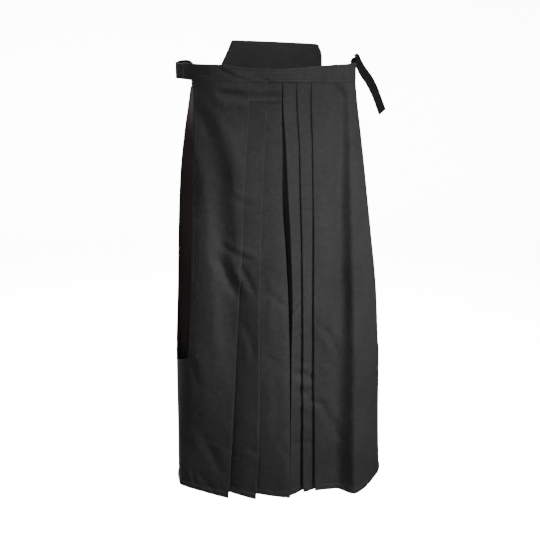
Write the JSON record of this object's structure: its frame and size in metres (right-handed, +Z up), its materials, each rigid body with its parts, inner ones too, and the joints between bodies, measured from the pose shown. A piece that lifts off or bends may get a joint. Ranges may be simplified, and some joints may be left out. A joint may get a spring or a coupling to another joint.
{
  "type": "hakama trousers",
  "caption": "Black pleated, divided hakama, filled out as worn: knife pleats at the front, a stiff board at the back, open side slits, webbing belt at the sides.",
  "frame": {"origin": "middle of the waist opening, level with the upper edge of the front waistband, where the wearer's waist holds the garment up", "axes": "+Z up the wearer's body, front towards -Y, the wearer's left leg towards +X"},
  "size_m": [0.4602, 0.2454, 0.9735],
  "materials": {
    "twill": "matte black twill, soft sheen at a low angle",
    "board_twill": "the same twill drawn smooth over a stiff board",
    "webbing": "dense black webbing, slightly shiny ribs"
  },
  "bodies": {
    "root": {"front_panel_right": "twill", "front_panel_left": "twill", "back_panel_right": "twill", "back_panel_left": "twill", "inner_leg_right": "twill", "inner_leg_left": "twill", "front_waistband": "twill", "back_waistband": "twill", "back_board": "board_twill", "side_belt_right": "webbing", "side_belt_left": "webbing", "strap_end_left": "webbing"}
  },
  "joints": []
}
